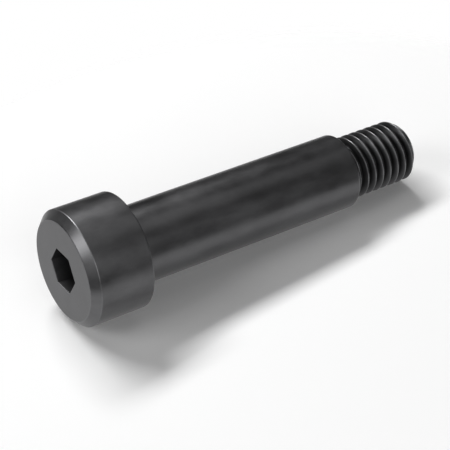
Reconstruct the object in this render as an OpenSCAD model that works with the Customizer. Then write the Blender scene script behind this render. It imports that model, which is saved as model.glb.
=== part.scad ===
// Shoulder bolt: a socket head, a long plain shoulder that a moving part turns on, and a short thread.
// It stands on its head with the thread upwards, and the origin is the centre of the head's flat face.

/* [Head] */
// Diameter of the head
head_d = 18; // [16:0.5:24]
// Height of the head, from its flat face to its seat
head_h = 10; // [8:0.5:16]
// Width and height of the chamfer round the flat face
head_chamfer = 1.2; // [0.6:0.1:1.8]
// Radius of the edges turned on the head
head_edge = 0.2; // [0.1:0.05:0.3]

/* [Socket] */
// Width of the hexagon socket across its flats
key_w = 6; // [4:0.5:8]
// Depth of the socket's flats
key_depth = 5; // [3:0.5:6]
// Angle of the drilled cone at the socket's bottom
drill_angle = 120; // [90:1:140]

/* [Shoulder] */
// Diameter of the shoulder
shoulder_d = 12; // [11:0.5:15]
// Length of the shoulder, from the head's seat to the step at the thread
shoulder_l = 40; // [10:1:120]
// Length of the relief groove along the shoulder, from the head's seat
relief_l = 1.2; // [0.6:0.1:2]
// Depth of the relief groove, into the shoulder and into the seat
relief_depth = 0.2; // [0.1:0.05:0.4]
// Radius of the shoulder's edge at the step
shoulder_edge = 0.35; // [0.1:0.05:0.6]

/* [Thread] */
// Outer diameter of the thread
thread_d = 10; // [8:0.5:10.5]
// Distance from one crest to the next
pitch = 1.5; // [1:0.05:1.75]
// Length from the shoulder's step to the bolt's end
thread_l = 12.5; // [9:0.5:30]
// Length of the plain neck between the step and the first turn
neck_l = 0.35; // [0.3:0.05:2]
// Height by which the neck and the end face lie below the bottom of the thread
neck_drop = 0.13; // [0.05:0.01:0.3]
// Turn of the thread about the bolt's axis, in degrees
thread_turn = 138; // [0:1:359]

/* [Hidden] */
// Steps round a full circle on the turned faces, and straight steps along a rounded edge
round_steps = 180;
edge_steps = 4;
// Steps in one turn of the thread, and turns below its start and past its end, which are cut away
turn_steps = 48;
spare_turns = 2;
// Depth by which pieces that are fused or cut reach into each other
bite = 1;
// Sides of the socket
key_sides = 6;

head_r = head_d / 2;
shoulder_r = shoulder_d / 2;
thread_r = thread_d / 2;
step_z = head_h + shoulder_l;
end_z = step_z + thread_l;

// One ridge of a 60 degree thread, as [height from the crest's middle, distance from the axis].
// The crest is flat, and the root is deeper in its middle, as a rounded root is.
flank_angle = 30;
crest_w = pitch / 8;
root_w = pitch / 4;
flank_w = (pitch - crest_w - root_w) / 2;
root_r = thread_r - flank_w / tan(flank_angle);
deep_r = root_r - root_w * tan(flank_angle) / 2;
neck_r = deep_r - neck_drop;
ridge = [
    [-crest_w / 2, thread_r],
    [crest_w / 2, thread_r],
    [crest_w / 2 + flank_w, root_r],
    [pitch / 2, deep_r],
    [pitch / 2 + root_w / 2, root_r]
];
rows = len(ridge);
turns = ceil(thread_l / pitch) + 2 * spare_turns;

function unit(v) = v / norm(v);

// Rounds the corner p of an outline with an arc of radius r that touches the lines from p to a and to b
function rounded(p, a, b, r) =
    let (
        u = unit(a - p),
        v = unit(b - p),
        half = acos(u * v) / 2,
        centre = p + unit(u + v) * r / sin(half),
        start = p + u * r / tan(half) - centre,
        finish = p + v * r / tan(half) - centre
    )
    [for (i = [0:edge_steps]) centre + unit(start + (finish - start) * i / edge_steps) * r];

// Half outline of the head and the shoulder, as [distance from the axis, height]
face_corner = [head_r - head_chamfer, 0];
side_corner = [head_r, head_chamfer];
seat_corner = [head_r, head_h];
step_corner = [shoulder_r, step_z];
groove_corner = [shoulder_r - relief_depth, head_h - relief_depth];
groove_start = [shoulder_r + relief_depth, head_h];
groove_end = [shoulder_r, head_h + relief_l];
body_outline = concat(
    [[0, 0]],
    rounded(face_corner, [0, 0], side_corner, head_edge),
    rounded(side_corner, face_corner, seat_corner, head_edge),
    rounded(seat_corner, side_corner, [0, head_h], head_edge),
    [groove_start],
    rounded(groove_corner, groove_start, [groove_corner[0], groove_end[1]], relief_depth),
    [groove_end - [relief_depth, relief_depth], groove_end],
    rounded(step_corner, groove_end, [0, step_z], shoulder_edge),
    [[0, step_z]]
);

// Half outline of the space that the thread fills: the neck, the run-in, the full turns and the chamfered end
clear_r = thread_r + bite;
slope_h = clear_r - neck_r;
thread_outline = [
    [0, step_z - bite],
    [neck_r, step_z - bite],
    [neck_r, step_z + neck_l],
    [clear_r, step_z + neck_l + slope_h],
    [clear_r, end_z - slope_h],
    [neck_r, end_z],
    [0, end_z]
];

// Point of row k at step j of a turn, where the rows lie side by side along the bolt
function thread_point(k, j) =
    let (
        angle = thread_turn + 360 * j / turn_steps,
        corner = ridge[k % rows],
        turn = floor(k / rows) + j / turn_steps - spare_turns
    )
    [corner[1] * cos(angle), corner[1] * sin(angle), step_z + corner[0] + pitch * turn];

// Hexagon socket with a drilled cone at its bottom
module socket() {
    drill_r = key_w / 2;
    cone_h = drill_r / tan(drill_angle / 2);
    translate([0, 0, -bite])
        cylinder(r = drill_r / cos(180 / key_sides), h = bite + key_depth, $fn = key_sides);
    rotate_extrude($fn = round_steps)
        polygon([
            [0, key_depth - bite],
            [drill_r, key_depth - bite],
            [drill_r, key_depth],
            [0, key_depth + cone_h]
        ]);
}

// The thread's ridges with the core inside them, longer than the thread at both ends
module ridges() {
    last = turns * rows;
    top = last - rows;
    points = [for (k = [0:last], j = [0:turn_steps - 1]) thread_point(k, j)];
    low = [0, 0, thread_point(0, 0)[2]];
    high = [0, 0, thread_point(last, 0)[2]];
    low_i = len(points);
    high_i = low_i + 1;
    // Row k at the end of a turn is the row of the next turn at its start
    function at(k, j) = j < turn_steps ? k * turn_steps + j : (k + rows) * turn_steps;
    faces = concat(
        [for (k = [0:top - 1], j = [0:turn_steps - 1]) each [
            [at(k, j), at(k + 1, j), at(k + 1, j + 1)],
            [at(k, j), at(k + 1, j + 1), at(k, j + 1)]
        ]],
        [for (j = [0:turn_steps - 1]) each [
            [low_i, at(0, j), at(0, j + 1)],
            [high_i, at(top, j + 1), at(top, j)]
        ]],
        [for (k = [0:rows - 1]) each [
            [low_i, at(k + 1, 0), at(k, 0)],
            [high_i, at(top + k, 0), at(top + k + 1, 0)]
        ]]
    );
    polyhedron(concat(points, [low, high]), faces, convexity = 10);
}

module shoulder_bolt() {
    color([0.2, 0.2, 0.21]) {
        difference() {
            rotate_extrude($fn = round_steps) polygon(body_outline);
            socket();
        }
        intersection() {
            ridges();
            rotate_extrude($fn = round_steps) polygon(thread_outline);
        }
    }
}

shoulder_bolt();
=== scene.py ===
import math
import bpy
from mathutils import Matrix, Vector


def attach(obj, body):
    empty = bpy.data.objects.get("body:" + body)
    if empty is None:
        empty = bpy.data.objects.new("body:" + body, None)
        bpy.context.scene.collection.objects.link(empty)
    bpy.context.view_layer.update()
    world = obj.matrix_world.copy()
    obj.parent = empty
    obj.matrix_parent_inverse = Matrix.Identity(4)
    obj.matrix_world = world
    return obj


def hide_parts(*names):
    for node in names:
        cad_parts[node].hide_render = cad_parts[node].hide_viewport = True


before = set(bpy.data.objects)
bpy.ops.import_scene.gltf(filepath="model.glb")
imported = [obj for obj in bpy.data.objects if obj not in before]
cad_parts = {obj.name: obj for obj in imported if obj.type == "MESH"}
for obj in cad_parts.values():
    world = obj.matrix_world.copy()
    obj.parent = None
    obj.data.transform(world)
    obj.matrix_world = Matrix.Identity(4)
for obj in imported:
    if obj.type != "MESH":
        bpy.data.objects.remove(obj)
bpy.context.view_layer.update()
print("frame loaded:", ", ".join(sorted(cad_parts)))

mm = 0.001

# the photograph's camera, in the bolt's own frame, where the bolt stands on its head
camera = {
    "place": (0.165625, -0.136681, -0.089439),
    "turn": (147.533, -55.456, -2.342),
    "lens": 128.54,
    "sensor": 36,
    "clip": (0.01, 20),
}


def addCamera():
    data = bpy.data.cameras.new("photoCamera")
    data.lens = camera["lens"]
    data.sensor_width = camera["sensor"]
    data.clip_start, data.clip_end = camera["clip"]
    holder = bpy.data.objects.new("photoCamera", data)
    holder.location = camera["place"]
    holder.rotation_euler = [math.radians(a) for a in camera["turn"]]
    bpy.context.scene.collection.objects.link(holder)
    bpy.context.scene.camera = holder
    bpy.context.view_layer.update()
    return holder


cameraHolder = addCamera()
print("camera placed")

# The bolt's sizes are in millimetres and are the CAD part's. Heights start at the head's flat face.
bolt = {
    "headRadius": 9.0,
    "headHeight": 10.0,
    "headChamfer": 1.2,
    "headEdge": 0.2,
    "chamferSheen": 0.3,  # painted sheen over the chamfer's whole face, a painted highlight, where 1 is as bright as the worn edges
    "keyWidth": 6.0,
    "keyDepth": 5.0,
    "keyRim": 0.07,      # radius of the worn edge round the socket
    "rimWear": 0.7,
    "faceRing": 0.72,    # distance from the axis to the flat face's inner ring, as a share of the key's width
    "drillRadius": 2.96,
    "drillAngle": 120,
    "shoulderRadius": 6.0,
    "shoulderTop": 50.0,
    "reliefLength": 1.2,
    "reliefDepth": 0.2,
    "shoulderEdge": 0.35,
    "columns": 240,
    "arcSteps": 6,
    "ringGap": 4.0,      # longest band of faces along the bolt
    "supportGap": 0.04,  # keeps the flats flat beside each rounded edge
}

thread = {
    "radius": 5.0,
    "pitch": 1.5,
    "turn": 138,
    "neckRadius": 3.955,
    "neckLength": 0.35,
    "neckFillet": 0.15,
    "start": 0.05,       # how far the ridges reach down below the neck's top
    "rootRadius": 4.1,
    "crestBlend": 0.09,
    "rootBlend": 0.16,
    "endBlend": 0.05,
    "wornWidth": 0.06,   # depth to which the crests are rubbed bright
    "wornFrom": 0.5,     # no ridge lower than this below the crests is rubbed
    "top": 62.5,
    # heights of the rows of faces in one turn, from one root to the next
    "rows": [-0.75, -0.68, -0.62, -0.56, -0.50, -0.40, -0.29, -0.19, -0.14, -0.105, -0.07,
             -0.035, 0.035, 0.07, 0.105, 0.14, 0.19, 0.29, 0.40, 0.50, 0.56, 0.62, 0.68],
}

zones = ["socket", "head", "side", "shoulder", "thread"]
columns = bolt["columns"]
columnAngles = [2 * math.pi * j / columns for j in range(columns)]


def roundedCorner(corner, before, after, radius):
    # an arc that touches the two lines which meet at the corner
    p, a, b = Vector(corner), Vector(before), Vector(after)
    u, v = (a - p).normalized(), (b - p).normalized()
    half = u.angle(v) / 2
    centre = p + (u + v).normalized() * radius / math.sin(half)
    start = p + u * radius / math.tan(half) - centre
    finish = p + v * radius / math.tan(half) - centre
    steps = bolt["arcSteps"]
    return [tuple(centre + start.lerp(finish, i / steps).normalized() * radius) for i in range(steps + 1)]


def withSupports(outline):
    # adds a ring close to each end of a straight stretch, and more along a long one
    gap = bolt["supportGap"]
    out = [outline[0]]
    for p, q in zip(outline, outline[1:]):
        p, q = Vector(p), Vector(q)
        length = (q - p).length
        if length > 5 * gap:
            pieces = max(1, round(length / bolt["ringGap"]))
            shares = [gap / length] + [i / pieces for i in range(1, pieces)] + [1 - gap / length]
            out += [tuple(p.lerp(q, s)) for s in shares]
        out.append(tuple(q))
    return out


def softMin(a, b, blend):
    h = max(blend - abs(a - b), 0) / blend
    return min(a, b) - h * h * blend / 4


def softMax(a, b, blend):
    return -softMin(-a, -b, blend)


def hexagonRadius(angle):
    # distance from the axis to the socket's flats, with a corner on +X
    turned = math.radians(math.degrees(angle) % 60 - 30)
    return bolt["keyWidth"] / 2 / math.cos(turned)


def threadLimit(height):
    # the neck's slope and the end's chamfer
    fromNeck = height - bolt["shoulderTop"] - thread["neckLength"]
    fromEnd = thread["top"] - height
    return thread["neckRadius"] + max(0, min(fromNeck, fromEnd))


def threadRadius(offset, limit):
    # 60 degree flanks between a flat crest and a rounded root
    flank = thread["radius"] - (abs(offset) - thread["pitch"] / 16) * math.sqrt(3)
    rooted = softMax(flank, thread["rootRadius"], thread["rootBlend"])
    crested = softMin(rooted, thread["radius"], thread["crestBlend"])
    return softMin(crested, limit, thread["endBlend"])


class Skin:
    # collects rings of points round the bolt's axis and the faces between them
    def __init__(self):
        self.points, self.faces, self.faceZones = [], [], []
        # for each point: its wear with painted sheen, and how deep its painted shade goes
        self.wear, self.paintedShadeDepth = [], []

    def point(self, radius, angle, height, wear=0.0, paintedShadeDepth=0.0):
        self.points.append((radius * math.cos(angle) * mm, radius * math.sin(angle) * mm, height * mm))
        self.wear.append(wear)
        self.paintedShadeDepth.append(paintedShadeDepth)
        return len(self.points) - 1

    def ring(self, radii, height, wear=0.0, paintedShadeDepth=0.0):
        if not isinstance(radii, list):
            radii = [radii] * columns
        return [self.point(r, a, height, wear, paintedShadeDepth) for r, a in zip(radii, columnAngles)]

    def face(self, corners, zone):
        kept = [c for i, c in enumerate(corners) if c != corners[i - 1]]
        if len(set(kept)) > 2:
            self.faces.append(kept)
            self.faceZones.append(zones.index(zone))

    def band(self, lower, upper, zone):
        for j in range(columns):
            k = (j + 1) % columns
            self.face([lower[j], lower[k], upper[k], upper[j]], zone)

    def fan(self, centre, ring, zone):
        for j in range(columns):
            self.face([centre, ring[(j + 1) % columns], ring[j]], zone)


def addSocket(skin):
    width, depth, rim, drill = (bolt[k] for k in ("keyWidth", "keyDepth", "keyRim", "drillRadius"))
    hexagon = [hexagonRadius(a) for a in columnAngles]
    coneSlope = 1 / math.tan(math.radians(bolt["drillAngle"] / 2))
    floorEdge, rimSteps = 0.03, 4
    tip = skin.point(0, 0, depth + drill * coneSlope)
    rings = [skin.ring(drill * s, depth + drill * (1 - s) * coneSlope) for s in (0.25, 0.5, 0.75, 0.98, 1)]
    rings.append(skin.ring([h - floorEdge for h in hexagon], depth))
    rings += [skin.ring(hexagon, z) for z in (depth - floorEdge, depth - 10 * floorEdge, depth / 2, 3 * rim)]
    rimStart = len(rings)
    for i in range(rimSteps + 1):
        turn = math.radians(90 * i / rimSteps)
        out, height = rim * (1 - math.cos(turn)), rim * (1 - math.sin(turn))
        rings.append(skin.ring([h + out for h in hexagon], height, bolt["rimWear"]))
    faceRing = width * bolt["faceRing"]
    for share in (0.06, 0.4, 1):
        radii = [h + rim + share * (faceRing - h - rim) for h in hexagon]
        rings.append(skin.ring(radii, 0))
    skin.fan(tip, rings[0][::-1], "socket")
    for i, (a, b) in enumerate(zip(rings, rings[1:])):
        skin.band(b, a, "socket" if i < rimStart else "head")
    return rings[-1]


def addBody(skin, inner):
    head, height, chamfer = bolt["headRadius"], bolt["headHeight"], bolt["headChamfer"]
    edge, shoulder, top = bolt["headEdge"], bolt["shoulderRadius"], bolt["shoulderTop"]
    relief, reliefEnd = bolt["reliefDepth"], height + bolt["reliefLength"]
    neck = thread["neckRadius"]
    faceCorner, sideCorner = (head - chamfer, 0), (head, chamfer)
    seatCorner, stepCorner, neckCorner = (head, height), (shoulder, top), (neck, top)
    grooveStart, grooveCorner = (shoulder + relief, height), (shoulder - relief, height - relief)
    neckTop = (neck, top + thread["neckLength"] - thread["start"])
    # each stretch of the outline, with the zone that starts there and how far its points are worn
    stretches = [
        ("head", 1.0, roundedCorner(faceCorner, (0, 0), sideCorner, edge)),
        ("side", 1.0, roundedCorner(sideCorner, faceCorner, seatCorner, edge)),
        ("side", 1.0, roundedCorner(seatCorner, sideCorner, (0, height), edge)),
        ("side", 0.0, [grooveStart]),
        ("shoulder", 0.0, roundedCorner(grooveCorner, grooveStart, (grooveCorner[0], reliefEnd), relief)),
        ("shoulder", 0.0, [(shoulder - relief, reliefEnd - relief), (shoulder, reliefEnd)]),
        ("shoulder", 1.0, roundedCorner(stepCorner, (shoulder, reliefEnd), (0, top), bolt["shoulderEdge"])),
        ("thread", 0.0, roundedCorner(neckCorner, (shoulder, top), neckTop, thread["neckFillet"])),
        ("thread", 0.0, [neckTop]),
    ]
    starts = {stretch[0]: zone for zone, wear, stretch in stretches}
    wearAt = {point: wear for zone, wear, stretch in stretches for point in stretch}
    outline = [(bolt["keyWidth"] * bolt["faceRing"], 0)]
    outline += [point for zone, wear, stretch in stretches for point in stretch]
    zone, last = "head", inner
    for r, z in withSupports(outline)[1:]:
        onChamfer = z < chamfer and r > head - chamfer
        # the neck beside the shoulder is given the full painted shade
        inNeck = z >= top and r < thread["radius"]
        # the chamfer's face gets a painted sheen through the wear mask, a painted highlight
        wear = wearAt.get((r, z), bolt["chamferSheen"] if onChamfer else 0.0)
        new = skin.ring(r, z, wear, paintedShadeDepth=1.0 if inNeck else 0.0)
        skin.band(new, last, zone)
        zone, last = starts.get((r, z), zone), new
    return last


def addThread(skin, low):
    pitch, rows = thread["pitch"], thread["rows"]
    bottom, top = bolt["shoulderTop"] + thread["neckLength"] - thread["start"], thread["top"]
    high = skin.ring(thread["neckRadius"], top)
    perTurn = len(rows)
    crestStart = bolt["shoulderTop"] - thread["turn"] / 360 * pitch
    near, spareTurns = 0.01, 2
    firstTurn = math.floor((bottom - crestStart) / pitch) - spareTurns
    turns = math.ceil((top - bottom) / pitch) + 2 * spareTurns
    wornLimit = thread["radius"] - thread["wornFrom"]
    made = {}

    # the point in row k of column j, where points past either end of the thread fall on the ring there
    def at(k, j):
        if j == columns:
            return at(k + perTurn, 0)
        if (k, j) not in made:
            offset = rows[k % perTurn]
            height = crestStart + offset + pitch * (firstTurn + k // perTurn + j / columns)
            if height < bottom + near:
                made[k, j] = low[j]
            elif height > top - near:
                made[k, j] = high[j]
            else:
                limit = threadLimit(height)
                radius = threadRadius(offset, limit)
                ridge = min(limit, thread["radius"])
                wearAndSheenShare = 1.0 if radius > max(ridge - thread["wornWidth"], wornLimit) else 0.0
                # depth below the crest, which sets the painted shade in the thread's roots
                paintedShadeDepth = max(0.0, ridge - radius) / (thread["radius"] - thread["rootRadius"])
                made[k, j] = skin.point(radius, columnAngles[j], height, wearAndSheenShare, min(1.0, paintedShadeDepth))
        return made[k, j]

    for k in range(turns * perTurn):
        for j in range(columns):
            skin.face([at(k + 1, j), at(k + 1, j + 1), at(k, j + 1), at(k, j)], "thread")
    inner = skin.ring(thread["neckRadius"] - bolt["supportGap"], top)
    middle = skin.ring(thread["neckRadius"] / 2, top)
    skin.band(inner, high, "thread")
    skin.band(middle, inner, "thread")
    centre = skin.point(0, 0, top)
    skin.fan(centre, middle, "thread")


def buildBolt():
    skin = Skin()
    addThread(skin, addBody(skin, addSocket(skin)))
    mesh = bpy.data.meshes.new("boltSteel")
    mesh.from_pydata(skin.points, [], [list(reversed(f)) for f in skin.faces])
    mesh.polygons.foreach_set("material_index", skin.faceZones)
    mesh.polygons.foreach_set("use_smooth", [True] * len(skin.faces))
    for name, values in (("wear", skin.wear), ("paintedShadeDepth", skin.paintedShadeDepth)):
        mesh.attributes.new(name, "FLOAT", "POINT").data.foreach_set("value", values)
    mesh.update()
    piece = bpy.data.objects.new("boltSteel", mesh)
    bpy.context.scene.collection.objects.link(piece)
    return piece


boltSteel = buildBolt()
print("bolt built:", len(boltSteel.data.vertices), "points,", len(boltSteel.data.polygons), "faces")

# Black oxide on steel: each zone's finish, where marks run round the bolt at steps of its height or its radius.
# Sizes and depths are in millimetres, and the thread's shade setting is how dark the shade painted into the
# bottom of the thread and its neck gets.
finishes = {
    "socket": {"dark": 0.075, "light": 0.105, "roughness": 0.50, "roughnessSpread": 0.08, "marks": "height",
               "markSize": 0.25, "markDepth": 0.004, "grainDepth": 0.004, "wear": 0.25},
    "head": {"dark": 0.124, "light": 0.153, "roughness": 0.34, "roughnessSpread": 0.12, "marks": "both",
             "markSize": 0.12, "markDepth": 0.0012, "grainDepth": 0.0012, "waveDepth": 0.012, "wear": 0.35},
    "side": {"dark": 0.118, "light": 0.153, "roughness": 0.37, "roughnessSpread": 0.10, "marks": "both",
             "markSize": 0.12, "markDepth": 0.0012, "grainDepth": 0.0012, "waveDepth": 0.008, "wear": 0.35},
    "shoulder": {"dark": 0.119, "light": 0.151, "roughness": 0.36, "roughnessSpread": 0.12, "marks": "height",
                 "markSize": 0.08, "markDepth": 0.0008, "grainDepth": 0.0010, "waveDepth": 0.010, "wear": 0.35},
    "thread": {"dark": 0.110, "light": 0.140, "roughness": 0.36, "roughnessSpread": 0.06, "marks": "radius",
               "markSize": 0.10, "markDepth": 0.0010, "grainDepth": 0.0012, "wear": 0.35, "paintedShadeDarkest": 0.15},
}

steel = {
    "coolness": 1.027,   # blue against red and green
    "patchSize": 4.0,    # across the cloudy patches, which are longer along the bolt
    "patchStretch": 0.55,
    "patchShift": (40, 16, 12),  # another shift brings other patches
    "patchRange": (0.35, 0.65),  # values of the noise at which a patch is darkest and lightest
    "waveSize": 4.5,     # across the faint waves
    "grainSize": 0.15,
    "markDrift": 0.3,    # how far the patches bend the turning marks
    "markShade": 0.012,  # what the marks, and the wear with its painted sheen, add to the shade
    "wearAndSheenShade": 0.25,
}


def nodeMaker(holder):
    # gives a function that adds a node, with its inputs as values or as links from other nodes
    holder.use_nodes = True
    nodes, links = holder.node_tree.nodes, holder.node_tree.links
    nodes.clear()

    def node(kind, inputs=None, **settings):
        made = nodes.new("ShaderNode" + kind)
        for key, value in settings.items():
            setattr(made, key, value)
        for key, value in (inputs or {}).items():
            if isinstance(value, bpy.types.NodeSocket):
                links.new(value, made.inputs[key])
            else:
                made.inputs[key].default_value = value
        return made

    return node


def blackOxide(name, look):
    material = bpy.data.materials.new(name)
    node = nodeMaker(material)

    def maths(operation, a, b=0.0, c=0.0):
        return node("Math", {0: a, 1: b, 2: c}, operation=operation).outputs[0]

    def noise(inputs, **settings):
        return node("TexNoise", inputs, **settings).outputs[0]

    def rangeOf(value, inputs):
        return node("MapRange", {"Value": value, **inputs}).outputs[0]

    def addBump(height, depth, normal=None):
        inputs = {"Height": height, "Distance": depth * mm, "Strength": 1.0}
        if normal:
            inputs["Normal"] = normal
        return node("Bump", inputs).outputs[0]

    place = node("TexCoord").outputs["Object"]
    inMm = node("VectorMath", {0: place, 1: (1000, 1000, 1000)}, operation="MULTIPLY").outputs[0]
    flat = node("VectorMath", {0: inMm, 1: (1, 1, 0)}, operation="MULTIPLY").outputs[0]
    radius = node("VectorMath", {0: flat}, operation="LENGTH").outputs["Value"]
    height = node("SeparateXYZ", {0: inMm}).outputs["Z"]
    along = {"height": height, "radius": radius, "both": maths("ADD", height, radius)}[look["marks"]]

    stretch, shift = (1, 1, steel["patchStretch"]), steel["patchShift"]
    drawnOut = node("VectorMath", {0: inMm, 1: stretch, 2: shift}, operation="MULTIPLY_ADD").outputs[0]
    patches = noise({"Vector": drawnOut, "Scale": 1 / steel["patchSize"], "Detail": 4, "Roughness": 0.6})
    grain = noise({"Vector": inMm, "Scale": 1 / steel["grainSize"], "Detail": 3, "Roughness": 0.6})
    drifting = maths("MULTIPLY_ADD", patches, steel["markDrift"], along)
    inputs = {"W": drifting, "Scale": 1 / look["markSize"], "Detail": 2, "Roughness": 0.6}
    marks = noise(inputs, noise_dimensions="1D")
    # wear on the edges and crests, and painted sheen over the chamfer: a painted highlight
    wearAndSheenMask = node("Attribute", attribute_name="wear").outputs["Fac"]
    wearAndSheenShare = maths("MULTIPLY", maths("MULTIPLY", wearAndSheenMask, look["wear"]), grain)

    low, high = steel["patchRange"]
    shade = rangeOf(patches, {1: low, 2: high, 3: look["dark"], 4: look["light"]})
    shade = maths("MULTIPLY_ADD", maths("SUBTRACT", marks, 0.5), steel["markShade"], shade)
    shade = maths("MULTIPLY_ADD", wearAndSheenShare, steel["wearAndSheenShade"], shade)
    # painted shade: darker towards the bottom of the thread and in its neck
    if "paintedShadeDarkest" in look:
        paintedShadeDepth = node("Attribute", attribute_name="paintedShadeDepth").outputs["Fac"]
        shade = maths("MULTIPLY", shade, rangeOf(paintedShadeDepth, {3: 1.0, 4: look["paintedShadeDarkest"]}))
    blue = maths("MULTIPLY", shade, steel["coolness"])
    colour = node("CombineColor", {0: shade, 1: shade, 2: blue}).outputs[0]
    spread = look["roughnessSpread"]
    roughness = maths("MULTIPLY_ADD", maths("SUBTRACT", patches, 0.5), spread * 2, look["roughness"])
    roughness = maths("MULTIPLY_ADD", maths("SUBTRACT", grain, 0.5), spread, roughness)
    bump = addBump(grain, look["grainDepth"], addBump(marks, look["markDepth"]))
    if "waveDepth" in look:
        waves = noise({"Vector": drawnOut, "Scale": 1 / steel["waveSize"], "Detail": 1})
        bump = addBump(waves, look["waveDepth"], bump)
    inputs = {"Base Color": colour, "Roughness": roughness, "Metallic": 1.0, "Normal": bump}
    oxide = node("BsdfPrincipled", inputs)
    node("OutputMaterial", {"Surface": oxide.outputs[0]})
    return material


for zone in zones:
    boltSteel.data.materials.append(blackOxide("blackOxide" + zone.capitalize(), finishes[zone]))
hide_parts("shoulder_bolt")
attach(boltSteel, "root")
print("finishes applied")

# The bolt lies on this board, on the rims of its head and its shoulder.
# The board has one side: from behind it isn't there.
lyingFloor = {
    "lean": 4.305,        # degrees between the bolt's axis and the board
    "turn": -86.1,        # degrees round the bolt's axis
    "distance": 0.0097115,
    "size": (0.150, 0.114),  # along and across the bolt
    "fade": 0.86,         # share of the size at which the board starts to fade out
    "grey": 0.80,         # as the light that it sends back sees it, then as the camera and the metal do
    "cameraGrey": 1.0,
    "mirroredGrey": 0.45,
    "mirroredGlow": (0.20, 0.50),  # glow added where it shows in the metal, at its middle and at its rim: a painted reflection, dimmer under the bolt as a painted shadow
}

# the bolt stands on its head on this one, which shows only from above
standingFloor = {
    "height": 0.00003,
    "size": (0.36, 0.36),
    "fade": 0.5,
    "grey": 1.0,
    "cameraGrey": 1.0,
    "mirroredGrey": 0.5,
    "mirroredGlow": (0.2, 0.2),
}


def floorUp():
    lean, turn = math.radians(lyingFloor["lean"]), math.radians(lyingFloor["turn"])
    return Vector((math.cos(lean) * math.cos(turn), math.cos(lean) * math.sin(turn), -math.sin(lean)))


def floorMaterial(name, look):
    material = bpy.data.materials.new(name)
    node = nodeMaker(material)
    goneAt = 0.99
    rays = node("LightPath")
    seen, glossy = rays.outputs["Is Camera Ray"], rays.outputs["Is Glossy Ray"]
    grey = node("MapRange", {"Value": seen, 3: look["grey"], 4: look["cameraGrey"]}).outputs[0]
    grey = node("MapRange", {"Value": glossy, 3: grey, 4: look["mirroredGrey"]}).outputs[0]
    paint = node("BsdfDiffuse", {"Color": node("CombineColor", {0: grey, 1: grey, 2: grey}).outputs[0]})
    # the board's own coordinates run from -1 to 1
    reach = node("VectorMath", {0: node("TexCoord").outputs["Object"]}, operation="LENGTH").outputs["Value"]
    # painted reflection: the board glows only in the metal's reflections, dimmer at its middle under the bolt
    # as a painted shadow
    middle, rim = look["mirroredGlow"]
    glow = node("MapRange", {"Value": reach, 3: middle, 4: rim}).outputs[0]
    glow = node("Emission", {"Strength": node("Math", {0: glow, 1: glossy}, operation="MULTIPLY").outputs[0]})
    shown = node("AddShader", {0: paint.outputs[0], 1: glow.outputs[0]})
    faded = node("MapRange", {"Value": reach, 1: look["fade"], 2: goneAt}, interpolation_type="SMOOTHSTEP")
    behind = node("NewGeometry").outputs["Backfacing"]
    gone = node("Math", {0: faded.outputs[0], 1: behind}, operation="MAXIMUM").outputs[0]
    mix = node("MixShader", {0: gone, 1: shown.outputs[0], 2: node("BsdfTransparent").outputs[0]})
    node("OutputMaterial", {"Surface": mix.outputs[0]})
    material.cycles.emission_sampling = "NONE"
    return material


def addFloor(name, look, place, alongWay, acrossWay):
    # an oval board
    sides = 96
    mesh = bpy.data.meshes.new(name)
    turns = [2 * math.pi * i / sides for i in range(sides)]
    mesh.from_pydata([(math.cos(t), math.sin(t), 0) for t in turns], [], [range(sides)])
    mesh.materials.append(floorMaterial(name + "Paint", look))
    floor = bpy.data.objects.new(name, mesh)
    long, wide = look["size"][0] / 2, look["size"][1] / 2
    turned = Matrix((alongWay * long, acrossWay * wide, alongWay.cross(acrossWay))).transposed()
    floor.matrix_world = Matrix.Translation(place) @ turned.to_4x4()
    bpy.context.scene.collection.objects.link(floor)
    return floor


up = floorUp()
right = cameraHolder.matrix_world.to_3x3().col[0]
right = (right - up * right.dot(up)).normalized()
away = up.cross(right)

boltMiddle = Vector((0, 0, 0.031))
along = Vector((0, 0, 1)) - up * up.z
along.normalize()
lyingPlace = boltMiddle - up * (boltMiddle.dot(up) + lyingFloor["distance"])
lying = addFloor("lyingFloor", lyingFloor, lyingPlace, along, up.cross(along))
lying.visible_diffuse = False
standingPlace = Vector((0, 0, standingFloor["height"]))
standing = addFloor("standingFloor", standingFloor, standingPlace, Vector((1, 0, 0)), Vector((0, 1, 0)))
standing.visible_shadow = standing.visible_diffuse = False
standing.visible_transmission = standing.visible_glossy = False
print("floors laid")

# Soft boxes, with their azimuth from straight behind the bolt towards the camera's right,
# their height in degrees above the lying floor and their distance from the bolt's middle.
lamps = {
    "backBox": {"azimuth": -42, "height": 52, "distance": 1.0, "size": (0.78, 0.18), "power": 9.35},
    "leftBox": {"azimuth": -119, "height": 34, "distance": 1.0, "size": (0.50, 0.45), "power": 2.45},
    "frontBox": {"azimuth": 150, "height": 30, "distance": 1.0, "size": (0.8, 0.7), "power": 2.75},
    "topBox": {"azimuth": 70, "height": 70, "distance": 1.0, "size": (0.6, 0.6), "power": 0.64},
    "lowBox": {"azimuth": -150, "height": 15, "distance": 1.0, "size": (0.5, 0.5), "power": 0.40},
}


def addLamp(name, look):
    a, h = math.radians(look["azimuth"]), math.radians(look["height"])
    outward = math.cos(h) * (math.sin(a) * right + math.cos(a) * away) + math.sin(h) * up
    side = math.cos(a) * right - math.sin(a) * away
    data = bpy.data.lights.new(name, "AREA")
    data.shape = "RECTANGLE"
    data.size, data.size_y = look["size"]
    data.energy = look["power"]
    lamp = bpy.data.objects.new(name, data)
    turned = Matrix((side, outward.cross(side), outward)).transposed()
    lamp.matrix_world = Matrix.Translation(boltMiddle + outward * look["distance"]) @ turned.to_4x4()
    bpy.context.scene.collection.objects.link(lamp)
    return lamp


allButStanding = bpy.data.collections.new("allButStanding")
allButStanding.objects.link(standing)
allButStanding.collection_objects[0].light_linking.link_state = "EXCLUDE"
for name, look in lamps.items():
    addLamp(name, look).light_linking.receiver_collection = allButStanding

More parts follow.
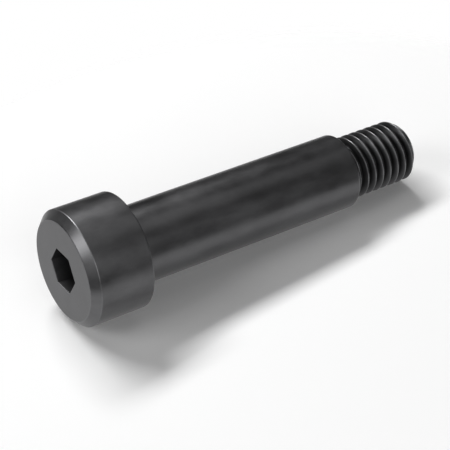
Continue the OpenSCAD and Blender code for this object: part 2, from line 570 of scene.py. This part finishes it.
# this one lights the standing floor alone, past the bolt
overhead = {"place": (-0.25, -0.15, 0.9), "size": 0.5, "power": 14.0}


def addOverhead():
    data = bpy.data.lights.new("overheadBox", "AREA")
    data.size, data.energy = overhead["size"], overhead["power"]
    lamp = bpy.data.objects.new("overheadBox", data)
    lamp.location = overhead["place"]
    lamp.rotation_euler = Vector(overhead["place"]).to_track_quat("Z", "Y").to_euler()
    bpy.context.scene.collection.objects.link(lamp)
    lit, shading = bpy.data.collections.new("litByOverhead"), bpy.data.collections.new("shadesOverhead")
    lit.objects.link(standing)
    shading.objects.link(boltSteel)
    lamp.light_linking.receiver_collection = lit
    lamp.light_linking.blocker_collection = shading


addOverhead()

# the white backdrop shows in the metal in a band round the horizon, from and to these heights in degrees
world = {"plain": 0.045, "white": 1.0, "mirrored": 0.33, "bandFrom": -14, "bandTo": 2, "bandEdge": 4}


def addWorld():
    studio = bpy.data.worlds.new("studio")
    node = nodeMaker(studio)

    def maths(operation, a, b=0.0, c=0.0):
        return node("Math", {0: a, 1: b, 2: c}, operation=operation).outputs[0]

    def fade(value, start, end):
        limits = {1: math.sin(math.radians(start)), 2: math.sin(math.radians(end))}
        return node("MapRange", {"Value": value, **limits}).outputs[0]

    rays = node("LightPath")
    height = node("SeparateXYZ", {0: node("TexCoord").outputs["Generated"]}).outputs["Z"]
    low, high, edge = world["bandFrom"], world["bandTo"], world["bandEdge"]
    band = maths("MULTIPLY", fade(height, low - edge, low), fade(height, high + edge, high))
    mirroring = maths("MAXIMUM", rays.outputs["Is Glossy Ray"], rays.outputs["Is Transmission Ray"])
    mirrored = maths("MULTIPLY", mirroring, maths("MULTIPLY_ADD", band, world["mirrored"], world["plain"]))
    strength = maths("MULTIPLY_ADD", rays.outputs["Is Camera Ray"], world["white"], mirrored)
    background = node("Background", {"Color": (1, 1, 1, 1), "Strength": strength})
    node("OutputWorld", {"Surface": background.outputs[0]})
    bpy.context.scene.world = studio


addWorld()
bpy.context.scene.view_settings.view_transform = "Standard"
print("studio lit")
